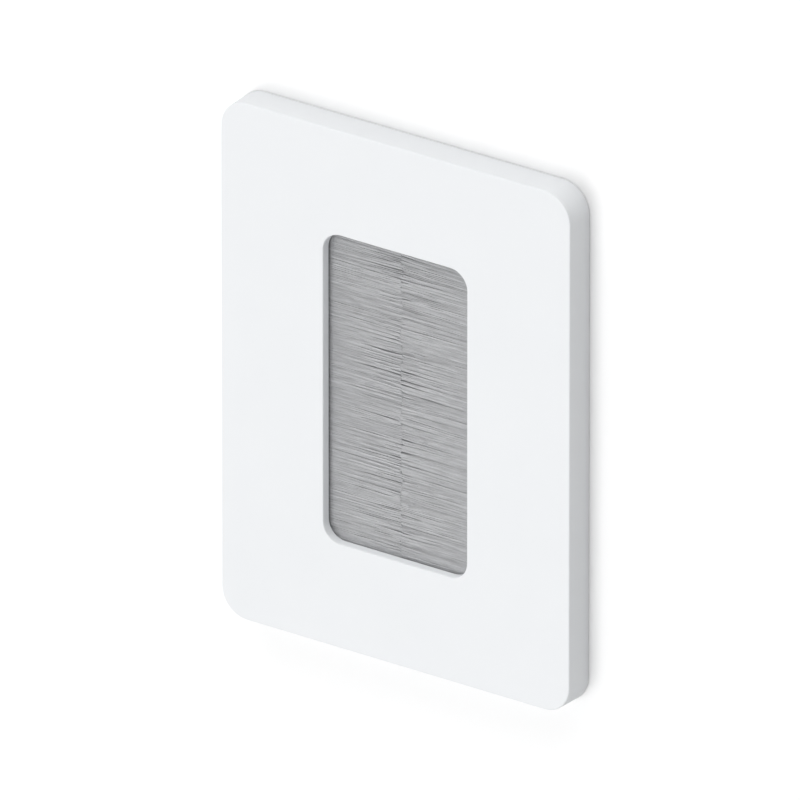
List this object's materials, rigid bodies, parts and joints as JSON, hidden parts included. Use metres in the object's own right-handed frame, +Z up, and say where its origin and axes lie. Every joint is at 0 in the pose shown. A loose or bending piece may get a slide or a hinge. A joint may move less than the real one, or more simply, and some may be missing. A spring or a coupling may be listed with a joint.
{
  "type": "brush cable pass-through wall plate",
  "caption": "Screwless single-gang wall plate with a rectangular window closed by two facing strip brushes, so cables pass through the wall neatly.",
  "frame": {"origin": "midway between the two mounting screws, in the plane of the wall", "axes": "+X to the right seen from the room, +Y into the wall, +Z up"},
  "size_m": [0.0828, 0.0228, 0.111],
  "materials": {
    "cover_plastic": "smooth white moulding with a soft satin sheen",
    "frame_plastic": "matt white moulding, lightly textured",
    "channel_metal": "mill-finish folded sheet",
    "wire_steel": "drawn wire",
    "bristle_nylon": "fine mid-grey nylon filaments with a soft sheen",
    "screw_steel": "zinc plated",
    "washer_plastic": "natural polyethylene"
  },
  "bodies": {
    "root": {"face_cover": "cover_plastic", "mounting_frame": "frame_plastic", "brush_retainer": "frame_plastic", "channel_left": "channel_metal", "channel_right": "channel_metal", "core_wire_left": "wire_steel", "core_wire_right": "wire_steel", "bristles_left": "bristle_nylon", "bristles_right": "bristle_nylon", "retainer_screws": "screw_steel", "mounting_screws": "screw_steel", "screw_washers": "washer_plastic"}
  },
  "joints": []
}
